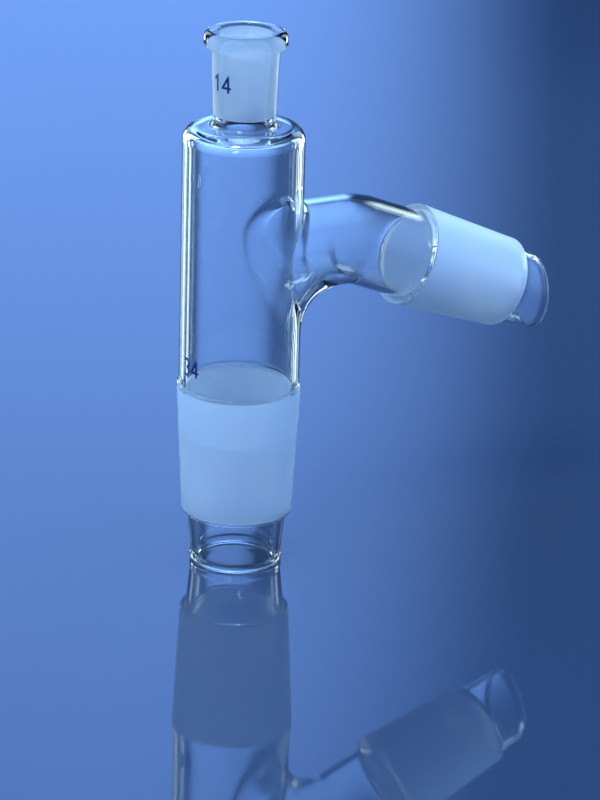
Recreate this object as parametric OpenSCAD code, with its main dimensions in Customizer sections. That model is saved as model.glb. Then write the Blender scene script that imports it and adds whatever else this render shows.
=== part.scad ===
// Distillation head (still head) in clear borosilicate glass.
// One blown piece: an upright hollow stem with a 14/23 ground socket for a
// thermometer at the top, a 34/35 ground cone with a drip tube at the bottom,
// and a side arm that slopes down to a 29/32 ground cone with a slanted drip tip.
// Frame: the stem axis is Z, the arm points along +X, and Z = 0 is the flat
// foot of the lower drip tube, which the head stands on. All sizes are in mm.

/* [Stem] */
// height of the whole head, foot to socket rim
total_h = 153.4; // [148:0.2:160]
// outer diameter of the body tube
body_od = 33.5; // [32.8:0.1:34.2]
// wall of the body tube
body_wall = 2.2; // [1.8:0.1:2.8]
// height of the level where the round shoulder starts
shoulder_z = 120; // [117:0.5:121]
// outer radius of the round shoulder
shoulder_r = 7; // [6:0.1:7.5]

/* [Lower ground cone] */
// diameter at the wide end of the ground zone (34/35 joint)
cone_d = 34.5; // [34.4:0.05:34.6]
// length of the ground zone
cone_len = 35; // [33:0.5:37]
// wall of the cone
cone_wall = 3.5; // [2.6:0.1:3.5]
// wall of the drip tube at its top
drip_wall = 3; // [2.4:0.1:3]
// height of the drip tube below the ground zone
drip_h = 17; // [14:0.5:20]
// outer diameter of the rim at the foot
foot_d = 26; // [25:0.1:27]
// inner diameter of the foot opening
foot_id = 20.6; // [19:0.1:21.5]

/* [Upper ground socket] */
// bore diameter at the wide end of the ground zone (14/23 joint)
socket_d = 14.5; // [14.4:0.05:14.6]
// length of the ground zone inside the socket
socket_len = 23; // [22:0.5:24]
// outer diameter of the socket tube at its lower end
socket_od = 17.2; // [16.8:0.1:18]
// outer diameter of the rolled rim
rim_d = 22.8; // [22:0.1:24]
// height of the rolled rim
rim_h = 4.6; // [4:0.1:5]

/* [Side arm] */
// height of the arm axis where it leaves the stem
arm_z = 90.2; // [86:0.2:94]
// outer diameter of the arm tube
arm_od = 25.1; // [24:0.1:25.6]
// wall of the arm tube
arm_wall = 1.1; // [1:0.1:1.6]
// downward slope of the arm in degrees
arm_slope = 22; // [15:0.5:25]
// level stretch of the arm between its rounded root and the bend
arm_level = 1.75; // [0.75:0.25:4]
// radius of the bend along the arm axis
bend_r = 14; // [13.5:0.5:17]
// straight tube between the bend and the side cone
arm_run = 17.1; // [15:0.1:20]
// rounding under the arm, where it runs into the stem
crotch_r = 13.5; // [9:0.5:14]
// rounding above the arm
crest_r = 2.5; // [1.5:0.1:3.5]

/* [Side ground cone] */
// diameter at the wide end of the ground zone (29/32 joint)
side_d = 29.2; // [29.1:0.05:29.3]
// length of the ground zone
side_len = 32; // [30:0.5:34]
// wall of the side cone
side_wall = 1.1; // [1:0.1:1.6]
// length of the drip tip past the ground zone, on its axis
tip_len = 12.2; // [9:0.2:14]
// outer diameter of the drip tip at its end
tip_d = 21.6; // [21:0.1:22.6]
// wall of the drip tip
tip_wall = 0.8; // [0.8:0.1:1.2]
// slant of the cut at the tip in degrees
tip_cut = 18; // [5:1:20]

/* [Hidden] */
$fn = 96;

// radii of the stem
body_r = body_od / 2;
body_ir = body_r - body_wall;
// standard taper of the ground joints: 1 in 10 on the diameter
taper = 0.05;
cone_top = drip_h + cone_len;
cone_r = cone_d / 2;
cone_end_r = cone_r - taper * cone_len;
cone_ir = cone_r - cone_wall;
// rounded lower end of the ground cone
cone_round = 1.6;
drip_top_r = cone_end_r - cone_round;
// foot: a flat ring with rounded edges
foot_r = foot_d / 2;
foot_ir = foot_id / 2;
foot_round = 0.3;
foot_in_round = 0.6;
drip_low_r = foot_r - 0.28;
// socket
sock_r = socket_d / 2;
lip = 0.8;
sock_top = total_h - lip;
sock_low = sock_top - socket_len;
sock_low_r = sock_r - taper * socket_len;
tube_r = socket_od / 2;
rim_r = rim_d / 2;
rim_round = rim_h / 2;
tube_top_r = tube_r + 0.0375 * (total_h - rim_h - sock_low);
// neck between shoulder and socket: the two roundings touch, or a wide body
// has a flat ring between them
neck_round = 1.8;
neck_x = tube_r + neck_round;
neck_a = body_r - shoulder_r > neck_x ? 90 : acos((neck_x - body_r + shoulder_r) / (shoulder_r + neck_round));
in_round = shoulder_r - body_wall;
in_top = shoulder_z + in_round;
throat_round = 2;
// arm
arm_r = arm_od / 2;
arm_ir = arm_r - arm_wall;
side_r = side_d / 2;
side_end_r = side_r - taper * side_len;
side_round = 1.4;
bend_x = body_r + crotch_r + arm_level;
bend_end = [bend_x + bend_r * sin(arm_slope), arm_z - bend_r * (1 - cos(arm_slope))];
// the root of the arm is one swept mesh that ends just past the bend, a hair
// prouder than the round tube it meets, and starts just under the stem's surface
root_over = 0.3;
root_proud = 0.01;
root_sink = 0.15;
root_n = 48;
root_steps = 8;
root_bends = 6;

// points of an arc in the plane of a turned profile
function arc(cx, cz, r, a0, a1, n = 8) =
    [for (i = [0 : n]) let (a = a0 + (a1 - a0) * i / n) [cx + r * cos(a), cz + r * sin(a)]];

// outside of the stem: foot, drip tube, cone, body, shoulder, socket and rolled rim
module stem_outside() {
    rotate_extrude()
    polygon(concat(
        [[0, 0]],
        arc(foot_r - foot_round, foot_round, foot_round, -90, 0, 5),
        [[foot_r, 1.2], [drip_low_r, 2.4]],
        arc(drip_top_r, drip_h - 0.8, cone_round, -90, 0, 6),
        [[cone_end_r, drip_h], [cone_r, cone_top]],
        [[cone_r - 0.06, cone_top + 0.5], [body_r + 0.1, cone_top + 1.1]],
        [[body_r, cone_top + 1.8]],
        arc(body_r - shoulder_r, shoulder_z, shoulder_r, 0, neck_a, 12),
        arc(neck_x, shoulder_z + (shoulder_r + neck_round) * sin(neck_a), neck_round, 180 + neck_a, 180, 5),
        [[tube_r, sock_low], [tube_top_r, total_h - rim_h]],
        arc(rim_r - rim_round, total_h - rim_round, rim_round, -75, 90, 12),
        [[0, total_h]]
    ));
}

// inside of the stem: foot mouth, drip tube, body, throat, ground bore and flared lip
module stem_inside() {
    rotate_extrude()
    polygon(concat(
        [[0, -1], [foot_ir + foot_in_round, -1], [foot_ir + foot_in_round, 0]],
        arc(foot_ir + foot_in_round, foot_in_round, foot_in_round, -90, -180, 4),
        [[drip_top_r - drip_wall, drip_h - 2.5]],
        [[cone_end_r - cone_wall - 0.6, drip_h + 3]],
        [[cone_ir, cone_top - 2], [cone_ir, cone_top + 0.5], [body_ir, cone_top + 4]],
        arc(body_ir - in_round, in_top - in_round, in_round, 0, 90, 8),
        arc(sock_low_r + throat_round, in_top + throat_round, throat_round, -90, -180, 5),
        [[sock_low_r, sock_low], [sock_r, sock_top]],
        arc(sock_r + lip, sock_top, lip, 180, 90, 5),
        [[sock_r + lip, total_h + 1], [0, total_h + 1]]
    ));
}

// distance of the stem surface from the YZ plane at a given y
function stem_x(r, y) = sqrt(r * r - y * y);

// one ring of the blend: k = 0 on the arm, k = root_steps on the stem
function blend_ring(k, sr, ar, low, high) =
    let (t = k / root_steps, sk = sr - root_sink)
    [for (i = [0 : root_n - 1])
        let (a = 360 * i / root_n,
             s = sin(a),
             drop = s < 0 ? low : high,
             e = s < 0 ? high + (low - high) * pow(-s, 1.5) : high,
             y0 = ar * cos(a),
             z0 = ar * s,
             y2 = (ar + high) * cos(a),
             z2 = (ar + drop) * s,
             p0 = [stem_x(sr, y0) + e, y0, z0],
             p1 = [stem_x(sk, y0), y0, z0],
             p2 = [stem_x(sk, y2), y2, z2])
        p0 * (1 - t) * (1 - t) + p1 * 2 * t * (1 - t) + p2 * t * t];

// one round ring of the bend at angle t, moved on by over along the arm
function bend_ring(t, ar, over = 0) =
    [for (i = [0 : root_n - 1])
        let (a = 360 * i / root_n, up = ar * sin(a))
        [bend_x + bend_r * sin(t) + up * sin(t) + over * cos(t),
         ar * cos(a),
         -bend_r * (1 - cos(t)) + up * cos(t) - over * sin(t)]];

// solid root of the arm: it grows out of the stem in a round blend and turns down
module arm_root(sr, r, low, high, x_in) {
    ar = (r + root_proud) / cos(180 / root_n);
    rings = concat(
        [bend_ring(arm_slope, ar, root_over)],
        [for (k = [root_bends : -1 : 0]) bend_ring(arm_slope * k / root_bends, ar)],
        [for (k = [0 : root_steps]) blend_ring(k, sr, ar, low, high)],
        [[for (p = blend_ring(root_steps, sr, ar, low, high)) [x_in, p[1], p[2]]]]
    );
    rows = len(rings);
    points = [for (ring = rings) for (p = ring) p];
    sides = [for (j = [0 : rows - 2]) for (i = [0 : root_n - 1])
        let (a = j * root_n + i, b = j * root_n + (i + 1) % root_n)
        for (f = [[a, b, b + root_n], [a, b + root_n, a + root_n]]) f];
    near_cap = [for (i = [root_n - 1 : -1 : 0]) i];
    far_cap = [for (i = [0 : root_n - 1]) (rows - 1) * root_n + i];
    translate([0, 0, arm_z])
        polyhedron(points, concat(sides, [near_cap, far_cap]));
}

// places its children on the sloping part of the arm, with +Z along the arm
module on_arm() {
    translate([bend_end[0], 0, bend_end[1]])
    rotate([0, 90 + arm_slope, 0])
    children();
}

// outside of the sloping arm: tube, flare, ground cone and drip tip
module arm_outside() {
    difference() {
        on_arm()
        rotate_extrude()
        polygon(concat(
            [[0, 0], [arm_r, 0], [arm_r, arm_run - 2.6]],
            [[arm_r + 0.25, arm_run - 2], [side_r - 0.45, arm_run - 1]],
            [[side_r - 0.05, arm_run - 0.5]],
            [[side_r, arm_run], [side_end_r, arm_run + side_len]],
            arc(side_end_r - side_round, arm_run + side_len + 0.2, side_round, 0, 90, 6),
            [[tip_d / 2, arm_run + side_len + tip_len + tip_d], [0, arm_run + side_len + tip_len + tip_d]]
        ));
        tip_knife();
    }
}

// the block that cuts the drip tip on the slant, longer underneath
module tip_knife() {
    on_arm()
    translate([0, 0, arm_run + side_len + tip_len])
    rotate([0, -tip_cut, 0])
    translate([-2 * tip_d, -2 * tip_d, 0])
    cube([4 * tip_d, 4 * tip_d, 3 * tip_d]);
}

// inside of the sloping arm, open at the drip tip
module arm_inside() {
    on_arm()
    rotate_extrude()
    polygon([
        [0, 0],
        [arm_ir, 0],
        [arm_ir, arm_run - 3],
        [arm_ir + 0.4, arm_run - 1.6],
        [side_r - side_wall, arm_run + 1],
        [side_end_r - side_wall, arm_run + side_len],
        [tip_d / 2 - tip_wall + 0.25, arm_run + side_len + 2.6],
        [tip_d / 2 - tip_wall, arm_run + side_len + tip_len],
        [tip_d / 2 - tip_wall, arm_run + side_len + tip_len + 2 * tip_d],
        [0, arm_run + side_len + tip_len + 2 * tip_d]
    ]);
}

// the whole blown piece
module still_head() {
    color([0.80, 0.88, 0.97, 0.35])
    difference() {
        union() {
            stem_outside();
            arm_root(body_r, arm_r, crotch_r, crest_r, 2);
            arm_outside();
        }
        stem_inside();
        arm_root(body_ir, arm_ir, crotch_r, crest_r, 1);
        arm_inside();
    }
}

still_head();
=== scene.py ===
import math
import bpy
import bmesh
from mathutils import Matrix, Vector


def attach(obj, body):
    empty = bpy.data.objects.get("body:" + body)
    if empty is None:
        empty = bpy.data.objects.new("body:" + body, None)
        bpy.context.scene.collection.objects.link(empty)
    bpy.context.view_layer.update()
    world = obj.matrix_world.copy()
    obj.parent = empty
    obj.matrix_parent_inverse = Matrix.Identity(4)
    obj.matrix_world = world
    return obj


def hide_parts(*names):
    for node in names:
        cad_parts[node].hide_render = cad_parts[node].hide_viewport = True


# Distillation head in clear glass with ground joints, on a plain floor.
# Sizes of the glass are millimetres and degrees; the scene and its room are in metres.

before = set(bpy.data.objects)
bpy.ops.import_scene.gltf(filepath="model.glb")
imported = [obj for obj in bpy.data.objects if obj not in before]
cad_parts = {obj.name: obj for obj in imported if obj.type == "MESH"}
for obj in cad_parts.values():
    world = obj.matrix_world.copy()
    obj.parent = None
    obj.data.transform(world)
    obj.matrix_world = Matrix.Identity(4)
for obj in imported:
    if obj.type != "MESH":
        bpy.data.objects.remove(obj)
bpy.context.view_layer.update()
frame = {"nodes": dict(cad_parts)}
print("frame loaded:", ", ".join(frame["nodes"]))

mm = 0.001

stem = {
    "footR": 13.0,          # rim of the drip tube, which the head stands on
    "footHoleR": 10.6,
    "footRound": 1.1,
    "footSeamR": 11.8,      # where the outside meets the inside, under the rim
    "footRimZ": 1.8,
    "dripLowZ": 2.6,        # drip tube just over its rim
    "dripLowR": 12.72,
    "dripTopR": 13.9,
    "dripWall": 2.4,
    "coneLowZ": 17.0,       # ground cone, narrow end
    "coneLowR": 15.5,
    "coneLowWall": 2.3,
    "coneLowRound": 1.5,
    "coneTopZ": 52.0,       # ground cone, wide end
    "coneTopR": 17.25,
    "coneTopRound": 0.9,
    "coneStep": 1.0,        # clear band over the ground zone
    "bodyR": 16.75,
    "boreR": 14.75,         # hollow of the body
    "boreRound": 6.0,       # soft turns of the hollow, down to the foot
    "shoulderZ": 127.0,
    "shoulderRound": 7.0,
    "innerTopZ": 124.2,
    "innerRound": 2.2,
    "throatRise": 0.9,      # throat's edge over the top of the hollow
    "throatRound": 2.6,
    "neckR": 8.6,
    "neckTopR": 9.27,
    "neckRound": 1.8,
    "socketLowZ": 129.6,    # ground bore of the socket
    "socketLowR": 6.1,
    "socketTopR": 7.25,
    "lip": 0.8,             # rounded edge of the bore
    "rimR": 11.4,
    "rimHeight": 4.6,
    "rimRound": 2.2,
    "height": 153.4,
    "columns": 128,
}

arm = {
    "z": 90.2,              # axis where the arm leaves the stem
    "outR": 12.55,
    "inR": 11.05,
    "bendX": 32.0,
    "bendRound": 14.0,
    "slope": 22.0,
    "run": 17.1,            # from the bend to the ground cone
    "flareOut": 1.05,       # the flare starts this far before the cone, outside
    "flareIn": 2.4,         # and inside
    "coneR": 14.6,
    "coneEndR": 13.0,
    "coneLength": 32.0,
    "coneWall": 1.5,
    "coneEndRound": 1.35,
    "tipLength": 12.2,
    "tipR": 10.65,
    "tipRootR": 11.2,       # tip where it leaves the cone's end
    "tipHoleR": 9.8,
    "tipSeamR": 10.05,      # where the outside meets the inside, on the tip's rim
    "tipSlant": 18.0,
    "crotch": 13.5,         # blend under the arm
    "crest": 2.5,           # blend over the arm
    "spread": 2.5,          # blend at the sides, outside
    "innerSpread": 1.6,     # and inside
    "patchOver": 18.4,      # the arm's patch of the stem's wall reaches this far over the axis
    "patchUnder": 29.6,     # and this far under it
    "patchWide": 26,        # columns from the arm's middle to the patch edge
    "patchUp": 18,          # rows over the arm axis
    "patchDown": 28,        # rows under it
    "wallSteps": 6,         # rings from the patch edge to the blend
    "blendSteps": 14,
    "levelSteps": 5,
    "bendSteps": 10,
}

clear, groundStem, groundArm = 0, 1, 2  # finishes, as places in the glass's list of materials


# samples an outline of (radius, height, corner radius) points, rounding its corners
def roundedPath(corners, step=1.5, turn=9.0):
    halfSide = 0.499  # a rounding takes less than half of each side it joins
    points = [Vector(corners[0][:2])]
    for i in range(1, len(corners) - 1):
        here = Vector(corners[i][:2])
        rad = corners[i][2]
        back = Vector(corners[i - 1][:2]) - here
        ahead = Vector(corners[i + 1][:2]) - here
        if rad <= 0:
            points.append(here)
            continue
        half = back.angle(ahead) / 2
        reach = min(rad / math.tan(half), halfSide * back.length, halfSide * ahead.length)
        rad = reach * math.tan(half)
        back.normalize()
        ahead.normalize()
        centre = here + (back + ahead).normalized() * rad / math.sin(half)
        first = here + back * reach - centre
        last = here + ahead * reach - centre
        sweep = first.angle_signed(last)
        count = max(2, math.ceil(abs(math.degrees(sweep)) / turn))
        for k in range(count + 1):
            angle = -sweep * k / count
            points.append(centre + Matrix.Rotation(angle, 2) @ first)
    points.append(Vector(corners[-1][:2]))
    return filledPath(points, step)


# long straight stretches get points in between
def filledPath(points, step):
    tiny = 1e-6
    dense = [points[0]]
    for p in points[1:]:
        gap = (p - dense[-1]).length
        if gap < tiny:
            continue
        start = dense[-1].copy()
        cuts = math.ceil(gap / step)
        for k in range(1, cuts + 1):
            dense.append(start.lerp(p, k / cuts))
    return [(p.x, p.y) for p in dense]


def smooth(t):
    t = min(1.0, max(0.0, t))
    return t * t * (3 - 2 * t)


def placeObject(name, data):
    made = bpy.data.objects.new(name, data)
    bpy.context.scene.collection.objects.link(made)
    return made


# welds points that lie together, turns the faces outwards and counts the edges left open
def closeMesh(mesh, weld=0.0):
    work = bmesh.new()
    work.from_mesh(mesh)
    if weld:
        bmesh.ops.remove_doubles(work, verts=work.verts, dist=weld)
    bmesh.ops.recalc_face_normals(work, faces=work.faces)
    openEdges = sum(len(e.link_faces) != 2 for e in work.edges)
    work.to_mesh(mesh)
    work.free()
    return openEdges


# points and quads of the glass, each quad with its finish
class Shell:
    def __init__(self):
        self.points = []
        self.faces = []
        self.finish = []

    def add(self, p):
        self.points.append((p[0] * mm, p[1] * mm, p[2] * mm))
        return len(self.points) - 1

    def quad(self, a, b, c, d, finish):
        self.faces.append((a, b, c, d))
        self.finish.append(finish)

    # a band of quads between two closed rings
    def band(self, ringA, ringB, finish):
        n = len(ringA)
        for i in range(n):
            k = (i + 1) % n
            self.quad(ringA[i], ringA[k], ringB[k], ringB[i], finish)


# rings of the stem; where the arm leaves it, the patch is left open
def stemRings(shell, rows, patchRows, finishOf):
    n = stem["columns"]
    wide = arm["patchWide"]
    first, last = patchRows
    rings = []
    for j, (r, z) in enumerate(rows):
        ring = []
        for c in range(n):
            k = c if c <= n // 2 else c - n
            if first < j < last and abs(k) < wide:
                ring.append(None)
                continue
            angle = 2 * math.pi * c / n
            ring.append(shell.add((r * math.cos(angle), r * math.sin(angle), z)))
        rings.append(ring)
    for j in range(len(rows) - 1):
        finish = finishOf(rows[j], rows[j + 1])
        for c in range(n):
            k = c if c < n // 2 else c - n
            if first <= j < last and -wide <= k < wide:
                continue
            d = (c + 1) % n
            shell.quad(rings[j][c], rings[j][d], rings[j + 1][d], rings[j + 1][c], finish)
    return rings


# the open patch's edge, counted from the +Y side upwards, as (column, row, u, v)
def patchEdge(first):
    wide, up, down = arm["patchWide"], arm["patchUp"], arm["patchDown"]
    edge = [(wide, v) for v in range(0, up)]
    edge += [(c, up) for c in range(wide, -wide, -1)]
    edge += [(-wide, v) for v in range(up, -down, -1)]
    edge += [(c, -down) for c in range(-wide, wide)]
    edge += [(wide, v) for v in range(-down, 0)]
    return [(c, first + down + v, c / wide, v / (up if v > 0 else down)) for c, v in edge]


# the blend's start on the stem's wall (toe), its corner (knee) and its end on the arm (foot)
def blendGuides(angles, stemR, tubeR, spread):
    toes, knees, feet = [], [], []
    for a in angles:
        s, co = math.sin(a), math.cos(a)
        drop = arm["crotch"] if s < 0 else arm["crest"]
        reach = arm["crest"] + (drop - arm["crest"]) * (abs(s) ** 1.5 if s < 0 else 0)
        y0, z0 = tubeR * co, tubeR * s
        y2, z2 = (tubeR + spread) * co, (tubeR + drop) * s
        x2 = math.sqrt(stemR * stemR - y2 * y2)
        x1 = (stemR * stemR - y0 * y2) / x2
        toes.append(Vector((x2, y2, z2 + arm["z"])))
        knees.append(Vector((x1, y0, z0 + arm["z"])))
        feet.append(Vector((x1 + reach, y0, z0 + arm["z"])))
    return toes, knees, feet


# rings along the stem's wall from the patch edge to the start of the blend
def wallRings(shell, edge, toes, stemR):
    rings = []
    for k in range(1, arm["wallSteps"]):
        t = k / arm["wallSteps"]
        ring = []
        for (theta, z), toe in zip(edge, toes):
            end = math.atan2(toe.y, toe.x)
            now = theta + (end - theta) * t
            ring.append(shell.add((stemR * math.cos(now), stemR * math.sin(now), z + (toe.z - z) * t)))
        rings.append(ring)
    return rings


def blendRings(shell, toes, knees, feet):
    pull = 0.5523  # handle length that makes the curve nearly a quarter circle
    rings = []
    for k in range(arm["blendSteps"] + 1):
        t = k / arm["blendSteps"]
        ring = []
        for toe, knee, foot in zip(toes, knees, feet):
            p1 = toe.lerp(knee, pull)
            p2 = foot.lerp(knee, pull)
            q = (toe * (1 - t) ** 3 + p1 * 3 * t * (1 - t) ** 2
                 + p2 * 3 * t * t * (1 - t) + foot * t ** 3)
            ring.append(shell.add(q))
        rings.append(ring)
    return rings


# level tube up to the bend
def levelRings(shell, feet):
    rings = []
    for k in range(1, arm["levelSteps"] + 1):
        t = k / arm["levelSteps"]
        rings.append([shell.add((f.x + (arm["bendX"] - f.x) * t, f.y, f.z)) for f in feet])
    return rings


def bendRings(shell, angles, tubeR):
    slope = math.radians(arm["slope"])
    rings = []
    for k in range(1, arm["bendSteps"] + 1):
        t = slope * k / arm["bendSteps"]
        cx = arm["bendX"] + arm["bendRound"] * math.sin(t)
        cz = arm["z"] - arm["bendRound"] * (1 - math.cos(t))
        ring = []
        for a in angles:
            up = tubeR * math.sin(a)
            ring.append(shell.add((cx + up * math.sin(t), tubeR * math.cos(a), cz + up * math.cos(t))))
        rings.append(ring)
    return rings


# one ring round the sloping axis; towards the tip it leans over to the slant of the cut
def slopingRing(shell, r, t, angles):
    slope = math.radians(arm["slope"])
    along = Vector((math.cos(slope), 0, -math.sin(slope)))
    upward = Vector((math.sin(slope), 0, math.cos(slope)))
    start = Vector((arm["bendX"] + arm["bendRound"] * math.sin(slope), 0,
                    arm["z"] - arm["bendRound"] * (1 - math.cos(slope))))
    coneEnd = arm["run"] + arm["coneLength"]
    leanFrom = coneEnd + 2.0
    leanTo = coneEnd + arm["tipLength"] - 1.5
    lean = math.tan(math.radians(arm["tipSlant"])) * smooth((t - leanFrom) / (leanTo - leanFrom))
    ring = []
    for a in angles:
        up = r * math.sin(a)
        p = start + along * (t - up * lean) + upward * up + Vector((0, r * math.cos(a), 0))
        ring.append(shell.add(p))
    return ring


# finish of the outside of the sloping part, at radius r and distance t from the bend
def armFinish(r, t):
    groundFrom = arm["run"] - 0.45
    groundTo = arm["run"] + arm["coneLength"] + arm["coneEndRound"]
    grindable = r > 12  # the end's round edge is ground, and the tip inside it isn't
    return groundArm if grindable and groundFrom < t < groundTo else clear


# one wall of the arm, from the stem's open patch to the tip's rim
def buildArmWall(shell, rings, zRows, first, wall):
    edge = patchEdge(first)
    angles = [math.atan2(v, u) for c, j, u, v in edge]
    n = stem["columns"]
    edgePlaces = [(2 * math.pi * c / n, zRows[j]) for c, j, u, v in edge]
    toes, knees, feet = blendGuides(angles, wall["stemR"], wall["tubeR"], wall["spread"])
    out = [[rings[j][c % n] for c, j, u, v in edge]]
    out += wallRings(shell, edgePlaces, toes, wall["stemR"])
    out += blendRings(shell, toes, knees, feet)
    out += levelRings(shell, feet)
    out += bendRings(shell, angles, wall["tubeR"])
    finishes = [clear] * (len(out) - 1)
    profile = wall["profile"]
    for (rBack, tBack), (r, t) in zip(profile, profile[1:]):
        out.append(slopingRing(shell, r, t, angles))
        finishes.append(armFinish(r, (t + tBack) / 2) if wall["ground"] else clear)
    for k, finish in enumerate(finishes):
        shell.band(out[k], out[k + 1], finish)


# outline of the stem's outside from the foot to the patch for the arm
def lowerOutside(s, patchLow):
    return roundedPath([
        (s["footSeamR"], 0, 0), (s["footR"], 0, s["footRound"]), (s["footR"], s["footRimZ"], 0.6),
        (s["dripLowR"], s["dripLowZ"], 1.5), (s["dripTopR"], s["coneLowZ"] - 2.3, 0.4),
        (s["coneLowR"], s["coneLowZ"] - 2.1, s["coneLowRound"]), (s["coneLowR"], s["coneLowZ"], 0),
        (s["coneTopR"], s["coneTopZ"], 0), (s["coneTopR"], s["coneTopZ"] + s["coneStep"], s["coneTopRound"]),
        (s["bodyR"], s["coneTopZ"] + s["coneStep"] + 0.15, 0.3), (s["bodyR"], patchLow, 0)])


# from the patch over the shoulder and the rim, and back down the bore to the patch's inside
def upperOutline(s, patchTop):
    rimZ = s["height"] - s["rimHeight"]
    return roundedPath([
        (s["bodyR"], patchTop, 0), (s["bodyR"], s["shoulderZ"], s["shoulderRound"]),
        (s["neckR"], s["shoulderZ"], s["neckRound"]), (s["neckR"], s["socketLowZ"], 0),
        (s["neckTopR"], rimZ, 0.6), (s["rimR"], rimZ - 0.1, s["rimRound"]),
        (s["rimR"], s["height"], s["rimRound"]), (s["socketTopR"], s["height"], s["lip"]),
        (s["socketTopR"], s["height"] - s["lip"], 0), (s["socketLowR"], s["socketLowZ"], 0),
        (s["socketLowR"], s["innerTopZ"] + s["throatRise"], s["throatRound"]),
        (s["boreR"], s["innerTopZ"], s["innerRound"]), (s["boreR"], patchTop, 0)])


# the hollow from the patch down to the foot
def lowerInside(s, patchLow):
    soft = s["boreRound"]
    return roundedPath([
        (s["boreR"], patchLow, 0), (s["boreR"], s["coneTopZ"] - 2, soft),
        (s["coneLowR"] - s["coneLowWall"], s["coneLowZ"] + 3, soft),
        (s["dripTopR"] - s["dripWall"], s["coneLowZ"] - 2.5, soft),
        (s["footHoleR"] + 0.1, s["dripLowZ"], 2.0), (s["footHoleR"], 0, s["footRound"]),
        (s["footSeamR"], 0, 0)])


# outlines of the sloping part, as (radius, distance from the bend)
def slopingOutside(a):
    coneEnd = a["run"] + a["coneLength"]
    tipEnd = coneEnd + a["tipLength"]
    return roundedPath([
        (a["outR"], 0, 0), (a["outR"], a["run"] - a["flareOut"], 0.5),
        (a["coneR"] - 0.02, a["run"] - 0.8, 0.5), (a["coneR"], a["run"], 0), (a["coneEndR"], coneEnd, 0),
        (a["coneEndR"], coneEnd + 1.4, a["coneEndRound"]), (a["tipRootR"], coneEnd + 1.45, 0.4),
        (a["tipR"], tipEnd - 2.2, 2.0), (a["tipR"] + 0.15, tipEnd, 0.72), (a["tipSeamR"], tipEnd, 0)])


def slopingInside(a):
    coneEnd = a["run"] + a["coneLength"]
    tipEnd = coneEnd + a["tipLength"]
    return roundedPath([
        (a["inR"], 0, 0), (a["inR"], a["run"] - a["flareIn"], 3.0),
        (a["coneR"] - a["coneWall"], a["run"] + 1.0, 2.5), (a["coneEndR"] - a["coneWall"], coneEnd, 2.5),
        (a["tipHoleR"] + 0.25, coneEnd + 2.6, 2.0), (a["tipHoleR"], tipEnd - 2.2, 2.0),
        (a["tipHoleR"] - 0.15, tipEnd, 0.7), (a["tipSeamR"], tipEnd, 0)])


# finish of the stem between two points of its outline
def stemFinish(p, q):
    r, z = (p[0] + q[0]) / 2, (p[1] + q[1]) / 2
    outsideOfCone = r > stem["dripTopR"] + 0.25
    if outsideOfCone and stem["coneLowZ"] - 1.0 < z < stem["coneTopZ"]:
        return groundStem
    if r < stem["socketTopR"] and stem["socketLowZ"] < z < stem["height"] - stem["lip"]:
        return groundStem
    return clear


def buildGlass():
    s, a = stem, arm
    patchTop = a["z"] + a["patchOver"]
    patchLow = a["z"] - a["patchUnder"]
    rowsUp, rowsDown = a["patchUp"], a["patchDown"]
    count = rowsUp + rowsDown
    patchZ = [patchLow + (a["z"] - patchLow) * k / rowsDown for k in range(rowsDown)]
    patchZ += [a["z"] + (patchTop - a["z"]) * k / rowsUp for k in range(rowsUp + 1)]
    low = lowerOutside(s, patchLow)
    high = upperOutline(s, patchTop)
    base = lowerInside(s, patchLow)
    out = low[:-1] + [(s["bodyR"], z) for z in patchZ] + high[1:-1]
    back = [(s["boreR"], z) for z in reversed(patchZ)] + base[1:]

    shell = Shell()
    firstOut = len(low) - 1
    outer = stemRings(shell, out, (firstOut, firstOut + count), stemFinish)
    # the inner patch runs from the top down
    inner = stemRings(shell, back, (0, count), stemFinish)
    shell.band(outer[-1], inner[0], clear)
    outWall = {"stemR": s["bodyR"], "tubeR": a["outR"], "spread": a["spread"],
               "profile": slopingOutside(a), "ground": True}
    inWall = {"stemR": s["boreR"], "tubeR": a["inR"], "spread": a["innerSpread"],
              "profile": slopingInside(a), "ground": False}
    buildArmWall(shell, outer, [z for r, z in out], firstOut, outWall)
    # the inner rings count their rows downwards, so they are turned over first
    buildArmWall(shell, inner[:count + 1][::-1], [z for r, z in back[:count + 1][::-1]], 0, inWall)

    mesh = bpy.data.meshes.new("stillHeadGlass")
    mesh.from_pydata(shell.points, [], shell.faces)
    mesh.polygons.foreach_set("material_index", shell.finish)
    openEdges = closeMesh(mesh, weld=2e-6)
    mesh.polygons.foreach_set("use_smooth", [True] * len(mesh.polygons))
    print("glass mesh:", len(mesh.polygons), "faces,", openEdges, "open edges")
    return placeObject("stillHeadGlass", mesh)


# plain size numbers printed on the glass: middle height, height of a figure, degrees round the stem
socketPrint = {"text": "14", "z": 137.8, "height": 4.3, "around": -163.0}
conePrint = {"text": "34", "z": 57.8, "height": 4.6, "around": -171.0}

# shares of a figure's height, then millimetres off the glass
lettering = {"stroke": 0.15, "pitch": 0.78, "width": 0.6, "step": 0.12, "lift": 0.012, "thick": 0.05}


def arcPoints(cx, cy, r, a0, a1, n=16):
    return [(cx + r * math.cos(math.radians(a0 + (a1 - a0) * k / n)),
             cy + r * math.sin(math.radians(a0 + (a1 - a0) * k / n))) for k in range(n + 1)]


# strokes of the figures, one unit high
strokes = {
    "1": [[(0.06, 0.76), (0.34, 1.0), (0.34, 0.0)]],
    "3": [arcPoints(0.29, 0.745, 0.25, 155, -90), arcPoints(0.29, 0.25, 0.265, 90, -155)],
    "4": [[(0.44, 0.0), (0.44, 1.0), (0.02, 0.3), (0.62, 0.3)]],
}


# points along a stroke, close enough together to follow the glass
def finePath(path, step):
    fine = [path[0]]
    for p in path[1:]:
        start = fine[-1].copy()
        cuts = max(1, math.ceil((p - start).length / step))
        fine += [start.lerp(p, k / cuts) for k in range(1, cuts + 1)]
    return fine


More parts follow.
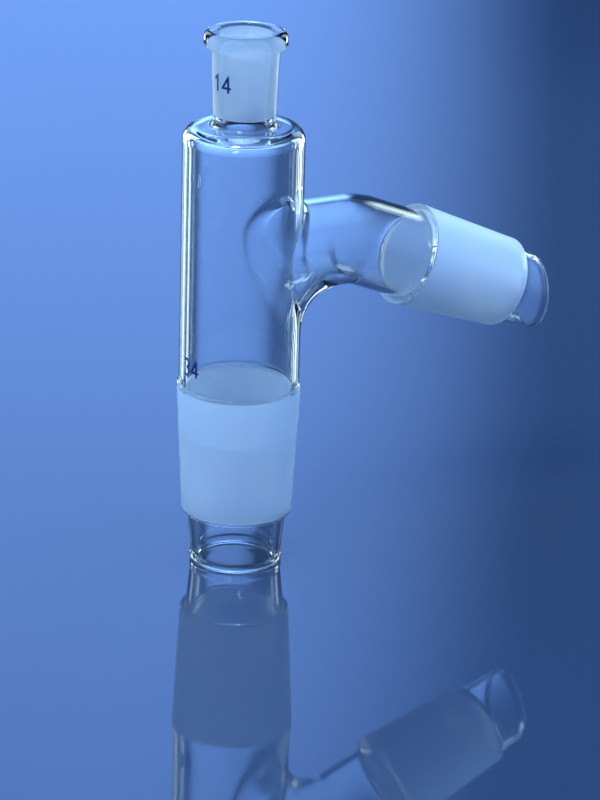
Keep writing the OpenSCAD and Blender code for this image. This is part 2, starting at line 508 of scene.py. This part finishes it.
# from each point of a stroke to its edge, longer at corners so that the stroke keeps its width
def strokeEdges(fine, half):
    sharpest = 0.45  # keeps a sharp corner from running far out
    edges = []
    for k, p in enumerate(fine):
        back = (p - fine[k - 1]).normalized() if k else (fine[1] - p).normalized()
        ahead = (fine[k + 1] - p).normalized() if k + 1 < len(fine) else back
        across = Vector((-back.y, back.x))
        side = Vector((-(back + ahead).y, (back + ahead).x))
        side = side.normalized() if side.length > 1e-6 else across
        edges.append(side * (half / max(sharpest, side.dot(across))))
    return edges


# thin flat lines laid on the glass, following its curve
def buildNumbers(name, spec, radiusAt):
    points, faces = [], []
    size = spec["height"]
    gap = lettering["pitch"] * size
    total = gap * (len(spec["text"]) - 1) + lettering["width"] * size
    lift, thick = lettering["lift"], lettering["thick"]

    def place(u, v, height):
        z = spec["z"] + v
        r = radiusAt(z) + height
        angle = math.radians(spec["around"]) + u / radiusAt(z)
        points.append((r * math.cos(angle) * mm, r * math.sin(angle) * mm, z * mm))

    for n, figure in enumerate(spec["text"]):
        for line in strokes[figure]:
            fine = finePath([Vector(p) * size for p in line], lettering["step"] * size)
            base = len(points)
            for p, edge in zip(fine, strokeEdges(fine, lettering["stroke"] / 2 * size)):
                for q in (p - edge, p + edge):
                    for height in (lift, lift + thick):
                        place(q.x + n * gap - total / 2, q.y, height)
            for k in range(len(fine) - 1):
                i, j = base + 4 * k, base + 4 * (k + 1)
                faces += [(i + 1, j + 1, j + 3, i + 3), (i, i + 2, j + 2, j),
                          (i, j, j + 1, i + 1), (i + 2, i + 3, j + 3, j + 2)]
            end = base + 4 * (len(fine) - 1)
            faces += [(base, base + 1, base + 3, base + 2), (end, end + 2, end + 3, end + 1)]
    mesh = bpy.data.meshes.new(name)
    mesh.from_pydata(points, [], faces)
    closeMesh(mesh)
    return placeObject(name, mesh)


def newGroup(name, inputs, outputs):
    group = bpy.data.node_groups.new(name, "ShaderNodeTree")
    for label, kind, value in inputs:
        socket = group.interface.new_socket(label, in_out="INPUT", socket_type=kind)
        if value is not None:
            socket.default_value = value
    for label, kind in outputs:
        group.interface.new_socket(label, in_out="OUTPUT", socket_type=kind)
    return group


# a new node; values named in_Something go to its inputs
def node(tree, kind, **values):
    made = tree.nodes.new(kind)
    for key, value in values.items():
        if key.startswith("in_"):
            made.inputs[key[3:].replace("_", " ")].default_value = value
        else:
            setattr(made, key, value)
    return made


# places of the inputs of a Mix node: its share, then what it mixes
mixShare = 0
numberA, numberB = 2, 3
colorA, colorB = 6, 7
mixedNumber, mixedColor = 0, 2


# long soft waves left in the wall by drawing and blowing the glass
def blownWavesGroup():
    tree = newGroup("blownWaves",
                    [("Vector", "NodeSocketVector", None), ("Wave Size", "NodeSocketFloat", 60.0),
                     ("Stretch", "NodeSocketFloat", 0.25), ("Depth", "NodeSocketFloat", 0.05)],
                    [("Normal", "NodeSocketVector")])
    start = node(tree, "NodeGroupInput")
    end = node(tree, "NodeGroupOutput")
    stretch = node(tree, "ShaderNodeCombineXYZ", in_X=1.0, in_Y=1.0)
    scaled = node(tree, "ShaderNodeVectorMath", operation="MULTIPLY")
    noise = node(tree, "ShaderNodeTexNoise", in_Detail=1.5, in_Roughness=0.4)
    bump = node(tree, "ShaderNodeBump", in_Distance=0.0002)
    link = tree.links.new
    link(start.outputs["Stretch"], stretch.inputs["Z"])
    link(start.outputs["Vector"], scaled.inputs[0])
    link(stretch.outputs[0], scaled.inputs[1])
    link(scaled.outputs[0], noise.inputs["Vector"])
    link(start.outputs["Wave Size"], noise.inputs["Scale"])
    link(noise.outputs["Fac"], bump.inputs["Height"])
    link(start.outputs["Depth"], bump.inputs["Strength"])
    link(bump.outputs["Normal"], end.inputs["Normal"])
    return tree


# fine even grinding with faint rings round the taper
def groundFinishGroup():
    tree = newGroup("groundFinish",
                    [("Vector", "NodeSocketVector", None), ("Grain Size", "NodeSocketFloat", 6000.0),
                     ("Ring Count", "NodeSocketFloat", 900.0), ("Light", "NodeSocketColor", (1, 1, 1, 1)),
                     ("Dark", "NodeSocketColor", (0.9, 0.9, 0.9, 1)), ("Rough Low", "NodeSocketFloat", 0.4),
                     ("Rough High", "NodeSocketFloat", 0.5), ("Depth", "NodeSocketFloat", 0.1)],
                    [("Color", "NodeSocketColor"), ("Roughness", "NodeSocketFloat"),
                     ("Normal", "NodeSocketVector")])
    start = node(tree, "NodeGroupInput")
    end = node(tree, "NodeGroupOutput")
    grain = node(tree, "ShaderNodeTexNoise", in_Detail=3.0, in_Roughness=0.6)
    flatten = node(tree, "ShaderNodeVectorMath", operation="MULTIPLY")
    flatten.inputs[1].default_value = (0.02, 0.02, 1.0)
    ringNoise = node(tree, "ShaderNodeTexNoise", in_Detail=2.0)
    cloud = node(tree, "ShaderNodeTexNoise", in_Scale=55.0, in_Detail=2.0)
    withRings = node(tree, "ShaderNodeMix", data_type="FLOAT")
    withRings.inputs[mixShare].default_value = 0.45
    withCloud = node(tree, "ShaderNodeMix", data_type="FLOAT")
    withCloud.inputs[mixShare].default_value = 0.4
    tint = node(tree, "ShaderNodeMix", data_type="RGBA")
    rough = node(tree, "ShaderNodeMapRange")
    bump = node(tree, "ShaderNodeBump", in_Distance=0.00003)
    link = tree.links.new
    link(start.outputs["Vector"], grain.inputs["Vector"])
    link(start.outputs["Grain Size"], grain.inputs["Scale"])
    link(start.outputs["Vector"], flatten.inputs[0])
    link(flatten.outputs[0], ringNoise.inputs["Vector"])
    link(start.outputs["Ring Count"], ringNoise.inputs["Scale"])
    link(start.outputs["Vector"], cloud.inputs["Vector"])
    link(grain.outputs["Fac"], withRings.inputs[numberA])
    link(ringNoise.outputs["Fac"], withRings.inputs[numberB])
    link(withRings.outputs[mixedNumber], withCloud.inputs[numberA])
    link(cloud.outputs["Fac"], withCloud.inputs[numberB])
    link(withCloud.outputs[mixedNumber], tint.inputs[mixShare])
    link(start.outputs["Dark"], tint.inputs[colorA])
    link(start.outputs["Light"], tint.inputs[colorB])
    link(withCloud.outputs[mixedNumber], rough.inputs["Value"])
    link(start.outputs["Rough Low"], rough.inputs["To Min"])
    link(start.outputs["Rough High"], rough.inputs["To Max"])
    link(withRings.outputs[mixedNumber], bump.inputs["Height"])
    link(start.outputs["Depth"], bump.inputs["Strength"])
    link(tint.outputs[mixedColor], end.inputs["Color"])
    link(rough.outputs[0], end.inputs["Roughness"])
    link(bump.outputs["Normal"], end.inputs["Normal"])
    return tree


blownWaves = blownWavesGroup()
groundFinish = groundFinishGroup()


def newMaterial(name):
    material = bpy.data.materials.new(name)
    material.use_nodes = True
    tree = material.node_tree
    tree.nodes.clear()
    out = node(tree, "ShaderNodeOutputMaterial")
    shader = node(tree, "ShaderNodeBsdfPrincipled")
    tree.links.new(shader.outputs[0], out.inputs[0])
    return material, tree, shader


clearGlass = {
    "tint": (0.965, 0.99, 1.0, 1),
    "lightTint": (0.99, 1.0, 1.0, 1),
    "tintSize": 25.0,
    "ior": 1.474,
    "waveSize": 45.0,
    "stretch": 0.2,
    "depth": 0.05,
}

groundGlass = {
    "ior": 1.474,
    "transmission": 0.55,
    "light": (0.96, 0.99, 1.0, 1),
    "dark": (0.86, 0.93, 1.0, 1),
    "roughLow": 0.55,
    "roughHigh": 0.68,
    "depth": 0.25,
}

enamelPaint = {
    "dark": (0.004, 0.014, 0.11, 1),
    "light": (0.007, 0.024, 0.17, 1),
    "speckleSize": 2500.0,
    "roughLow": 0.3,
    "roughHigh": 0.5,
}


def makeClearGlass(name, spec):
    material, tree, shader = newMaterial(name)
    where = node(tree, "ShaderNodeTexCoord")
    waves = node(tree, "ShaderNodeGroup", node_tree=blownWaves)
    waves.inputs["Wave Size"].default_value = spec["waveSize"]
    waves.inputs["Stretch"].default_value = spec["stretch"]
    waves.inputs["Depth"].default_value = spec["depth"]
    tree.links.new(where.outputs["Object"], waves.inputs["Vector"])
    tree.links.new(waves.outputs["Normal"], shader.inputs["Normal"])
    # faint blue body colour that varies a little along the glass
    tintNoise = node(tree, "ShaderNodeTexNoise", in_Scale=spec["tintSize"], in_Detail=1.0)
    tint = node(tree, "ShaderNodeMix", data_type="RGBA")
    tint.inputs[colorA].default_value = spec["tint"]
    tint.inputs[colorB].default_value = spec["lightTint"]
    tree.links.new(where.outputs["Object"], tintNoise.inputs["Vector"])
    tree.links.new(tintNoise.outputs["Fac"], tint.inputs[mixShare])
    tree.links.new(tint.outputs[mixedColor], shader.inputs["Base Color"])
    shader.inputs["Transmission Weight"].default_value = 1.0
    shader.inputs["Metallic"].default_value = 0.0
    shader.inputs["Roughness"].default_value = 0.0
    shader.inputs["IOR"].default_value = spec["ior"]
    return material


# lean turns the rings of the grinding to the axis of the cone
def makeGroundGlass(name, spec, lean=0.0):
    material, tree, shader = newMaterial(name)
    where = node(tree, "ShaderNodeTexCoord")
    turn = node(tree, "ShaderNodeMapping")
    turn.inputs["Rotation"].default_value = (0, math.radians(lean), 0)
    ground = node(tree, "ShaderNodeGroup", node_tree=groundFinish)
    ground.inputs["Light"].default_value = spec["light"]
    ground.inputs["Dark"].default_value = spec["dark"]
    ground.inputs["Rough Low"].default_value = spec["roughLow"]
    ground.inputs["Rough High"].default_value = spec["roughHigh"]
    ground.inputs["Depth"].default_value = spec["depth"]
    tree.links.new(where.outputs["Object"], turn.inputs["Vector"])
    tree.links.new(turn.outputs["Vector"], ground.inputs["Vector"])
    tree.links.new(ground.outputs["Color"], shader.inputs["Base Color"])
    tree.links.new(ground.outputs["Roughness"], shader.inputs["Roughness"])
    tree.links.new(ground.outputs["Normal"], shader.inputs["Normal"])
    shader.inputs["Transmission Weight"].default_value = spec["transmission"]
    shader.inputs["Metallic"].default_value = 0.0
    shader.inputs["IOR"].default_value = spec["ior"]
    return material


def makeEnamel(name, spec):
    material, tree, shader = newMaterial(name)
    where = node(tree, "ShaderNodeTexCoord")
    speckle = node(tree, "ShaderNodeTexNoise", in_Scale=spec["speckleSize"], in_Detail=2.0)
    colour = node(tree, "ShaderNodeMix", data_type="RGBA")
    colour.inputs[colorA].default_value = spec["dark"]
    colour.inputs[colorB].default_value = spec["light"]
    rough = node(tree, "ShaderNodeMapRange", in_To_Min=spec["roughLow"], in_To_Max=spec["roughHigh"])
    tree.links.new(where.outputs["Object"], speckle.inputs["Vector"])
    tree.links.new(speckle.outputs["Fac"], colour.inputs[mixShare])
    tree.links.new(colour.outputs[mixedColor], shader.inputs["Base Color"])
    tree.links.new(speckle.outputs["Fac"], rough.inputs["Value"])
    tree.links.new(rough.outputs[0], shader.inputs["Roughness"])
    return material


glass = buildGlass()
glass.data.materials.append(makeClearGlass("clearGlass", clearGlass))
glass.data.materials.append(makeGroundGlass("groundGlassStem", groundGlass))
glass.data.materials.append(makeGroundGlass("groundGlassArm", groundGlass, 90 + arm["slope"]))
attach(glass, "root")
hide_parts("still_head")
print("glass placed")


# outer radius of the socket tube at a height
def socketRadius(z):
    share = (z - stem["socketLowZ"]) / (stem["height"] - stem["rimHeight"] - stem["socketLowZ"])
    return stem["neckR"] + (stem["neckTopR"] - stem["neckR"]) * share


def bodyRadius(z):
    return stem["bodyR"]


enamel = makeEnamel("blueEnamel", enamelPaint)
prints = [("socketNumber", socketPrint, socketRadius), ("coneNumber", conePrint, bodyRadius)]
for name, spec, radiusAt in prints:
    number = buildNumbers(name, spec, radiusAt)
    number.data.materials.append(enamel)
    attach(number, "root")
print("numbers placed")


room = {
    "floorReach": 6.0,
    "floorDrop": 0.00005,   # keeps the floor just clear of the foot
    "floorColor": (0.035, 0.05, 0.09, 1),
    "floorRough": 0.03,
    "floorShine": 1.5,
    "dark": (0.02, 0.045, 0.11),
    # soft patches of light on the walls: degrees right of straight behind and over the floor,
    # how much taller than wide, and degrees from the middle where the fading starts and ends
    "patches": [
        {"side": -4, "high": 19, "tall": 3, "narrow": 2, "wide": 8.5, "color": (0.57, 1.19, 2.95)},
        {"side": 0, "high": 86, "tall": 1, "narrow": 15, "wide": 50, "color": (0.55, 1.10, 1.90)},
        {"side": -100, "high": 35, "tall": 1, "narrow": 10, "wide": 58, "color": (0.46, 0.92, 1.95)},
        {"side": 100, "high": 35, "tall": 1, "narrow": 10, "wide": 58, "color": (0.46, 0.92, 1.95)},
        {"side": 205, "high": 45, "tall": 1, "narrow": 10, "wide": 75, "color": (0.24, 0.47, 0.90)},
    ],
}

camera = {
    "lens": 159.0,
    "distance": 0.984,
    "elevation": 20.98,
    "turn": 29.1,
    "roll": 1.61,
    "aim": (0.0150, -0.0083, 0.0477),
}

# places are right, away and up from the stem as the camera sees it
lampColor = (0.76, 1.0, 1.0)
lamps = {
    "backLeft": {"from": (-0.285, 0.482, 0.086), "to": (0, 0, 0.086), "size": (0.112, 0.158), "power": 0.48},
    "edgeLeft": {"from": (-0.435, 0.352, 0.086), "to": (0, 0, 0.086), "size": (0.026, 0.158), "power": 0.17},
    "backRight": {"from": (0.293, 0.477, 0.086), "to": (0, 0, 0.086), "size": (0.096, 0.158), "power": 0.42},
    "edgeRight": {"from": (0.375, 0.416, 0.086), "to": (0, 0, 0.086), "size": (0.022, 0.158), "power": 0.14},
    "cornerLeft": {"from": (-0.165, 0.290, 0.235), "to": (0, 0, 0.13), "size": (0.10, 0.16), "power": 0.11},
    "cornerRight": {"from": (0.185, 0.280, 0.235), "to": (0, 0, 0.13), "size": (0.10, 0.16), "power": 0.11},
    "window": {"from": (-0.18, -0.46, 0.85), "to": (0, 0, 0.12), "size": (0.16, 0.30), "power": 3.0},
}


def makeFloor():
    size, drop = room["floorReach"], -room["floorDrop"]
    corners = [(-size, -size, drop), (size, -size, drop), (size, size, drop), (-size, size, drop)]
    mesh = bpy.data.meshes.new("floor")
    mesh.from_pydata(corners, [], [(0, 1, 2, 3)])
    floor = placeObject("floor", mesh)
    material, tree, shader = newMaterial("floorFinish")
    where = node(tree, "ShaderNodeTexCoord")
    noise = node(tree, "ShaderNodeTexNoise", in_Scale=3.0, in_Detail=2.0)
    rough = node(tree, "ShaderNodeMapRange")
    rough.inputs["To Min"].default_value = room["floorRough"] - 0.01
    rough.inputs["To Max"].default_value = room["floorRough"] + 0.01
    tree.links.new(where.outputs["Object"], noise.inputs["Vector"])
    tree.links.new(noise.outputs["Fac"], rough.inputs["Value"])
    tree.links.new(rough.outputs[0], shader.inputs["Roughness"])
    shader.inputs["Base Color"].default_value = room["floorColor"]
    shader.inputs["IOR"].default_value = room["floorShine"]
    floor.data.materials.append(material)


# turns right, away and up as the camera sees them into a place in the room
def fromCamera(right, away, up):
    turn = math.radians(camera["turn"])
    x = right * math.cos(turn) + away * math.sin(turn)
    y = -right * math.sin(turn) + away * math.cos(turn)
    return (x, y, up)


# one soft patch of light on the room's walls, as a colour to add
def softPatch(tree, where, spec):
    side, high = math.radians(spec["side"]), math.radians(spec["high"])
    squash = node(tree, "ShaderNodeVectorMath", operation="MULTIPLY")
    squash.inputs[1].default_value = (1, 1, 1 / spec["tall"])
    unit = node(tree, "ShaderNodeVectorMath", operation="NORMALIZE")
    along = node(tree, "ShaderNodeVectorMath", operation="DOT_PRODUCT")
    middle = Vector(fromCamera(math.sin(side), math.cos(side), math.tan(high) / spec["tall"]))
    along.inputs[1].default_value = middle.normalized()
    soft = node(tree, "ShaderNodeMapRange", interpolation_type="SMOOTHSTEP")
    soft.inputs["From Min"].default_value = math.cos(math.radians(spec["wide"]))
    soft.inputs["From Max"].default_value = math.cos(math.radians(spec["narrow"]))
    colour = node(tree, "ShaderNodeVectorMath", operation="SCALE")
    colour.inputs[0].default_value = spec["color"]
    tree.links.new(where.outputs["Generated"], squash.inputs[0])
    tree.links.new(squash.outputs[0], unit.inputs[0])
    tree.links.new(unit.outputs[0], along.inputs[0])
    tree.links.new(along.outputs["Value"], soft.inputs["Value"])
    tree.links.new(soft.outputs[0], colour.inputs["Scale"])
    return colour


def makeWorld():
    world = bpy.data.worlds.new("studio")
    world.use_nodes = True
    bpy.context.scene.world = world
    tree = world.node_tree
    where = node(tree, "ShaderNodeTexCoord")
    total = node(tree, "ShaderNodeVectorMath", operation="ADD")
    total.inputs[0].default_value = room["dark"]
    total.inputs[1].default_value = (0, 0, 0)
    for spec in room["patches"]:
        more = node(tree, "ShaderNodeVectorMath", operation="ADD")
        tree.links.new(total.outputs[0], more.inputs[0])
        tree.links.new(softPatch(tree, where, spec).outputs[0], more.inputs[1])
        total = more
    tree.links.new(total.outputs[0], tree.nodes["Background"].inputs["Color"])


def makeLamp(name, spec):
    place, target = Vector(fromCamera(*spec["from"])), Vector(fromCamera(*spec["to"]))
    data = bpy.data.lights.new(name, "AREA")
    data.shape = "RECTANGLE"
    data.size, data.size_y = spec["size"]
    data.energy = spec["power"]
    data.color = lampColor
    lamp = placeObject(name, data)
    lamp.location = place
    lamp.rotation_euler = (target - place).to_track_quat("-Z", "Y").to_euler()


def makeCamera():
    data = bpy.data.cameras.new("camera")
    data.lens = camera["lens"]
    data.sensor_width = 36.0
    data.clip_start = 0.01
    data.dof.use_dof = False
    eye = placeObject("camera", data)
    up, turn, roll = (math.radians(camera[k]) for k in ("elevation", "turn", "roll"))
    forward = Vector((math.sin(turn) * math.cos(up), math.cos(turn) * math.cos(up), -math.sin(up)))
    right = Vector((math.cos(turn), -math.sin(turn), 0))
    upward = right.cross(forward)
    rolledRight = right * math.cos(roll) + upward * math.sin(roll)
    rolledUp = upward * math.cos(roll) - right * math.sin(roll)
    turned = Matrix((rolledRight, rolledUp, -forward)).transposed().to_4x4()
    eye.matrix_world = Matrix.Translation(Vector(camera["aim"]) - forward * camera["distance"]) @ turned
    bpy.context.scene.camera = eye


makeFloor()
makeWorld()
for name, spec in lamps.items():
    makeLamp(name, spec)
makeCamera()
bpy.context.scene.view_settings.view_transform = "Standard"
print("room ready")
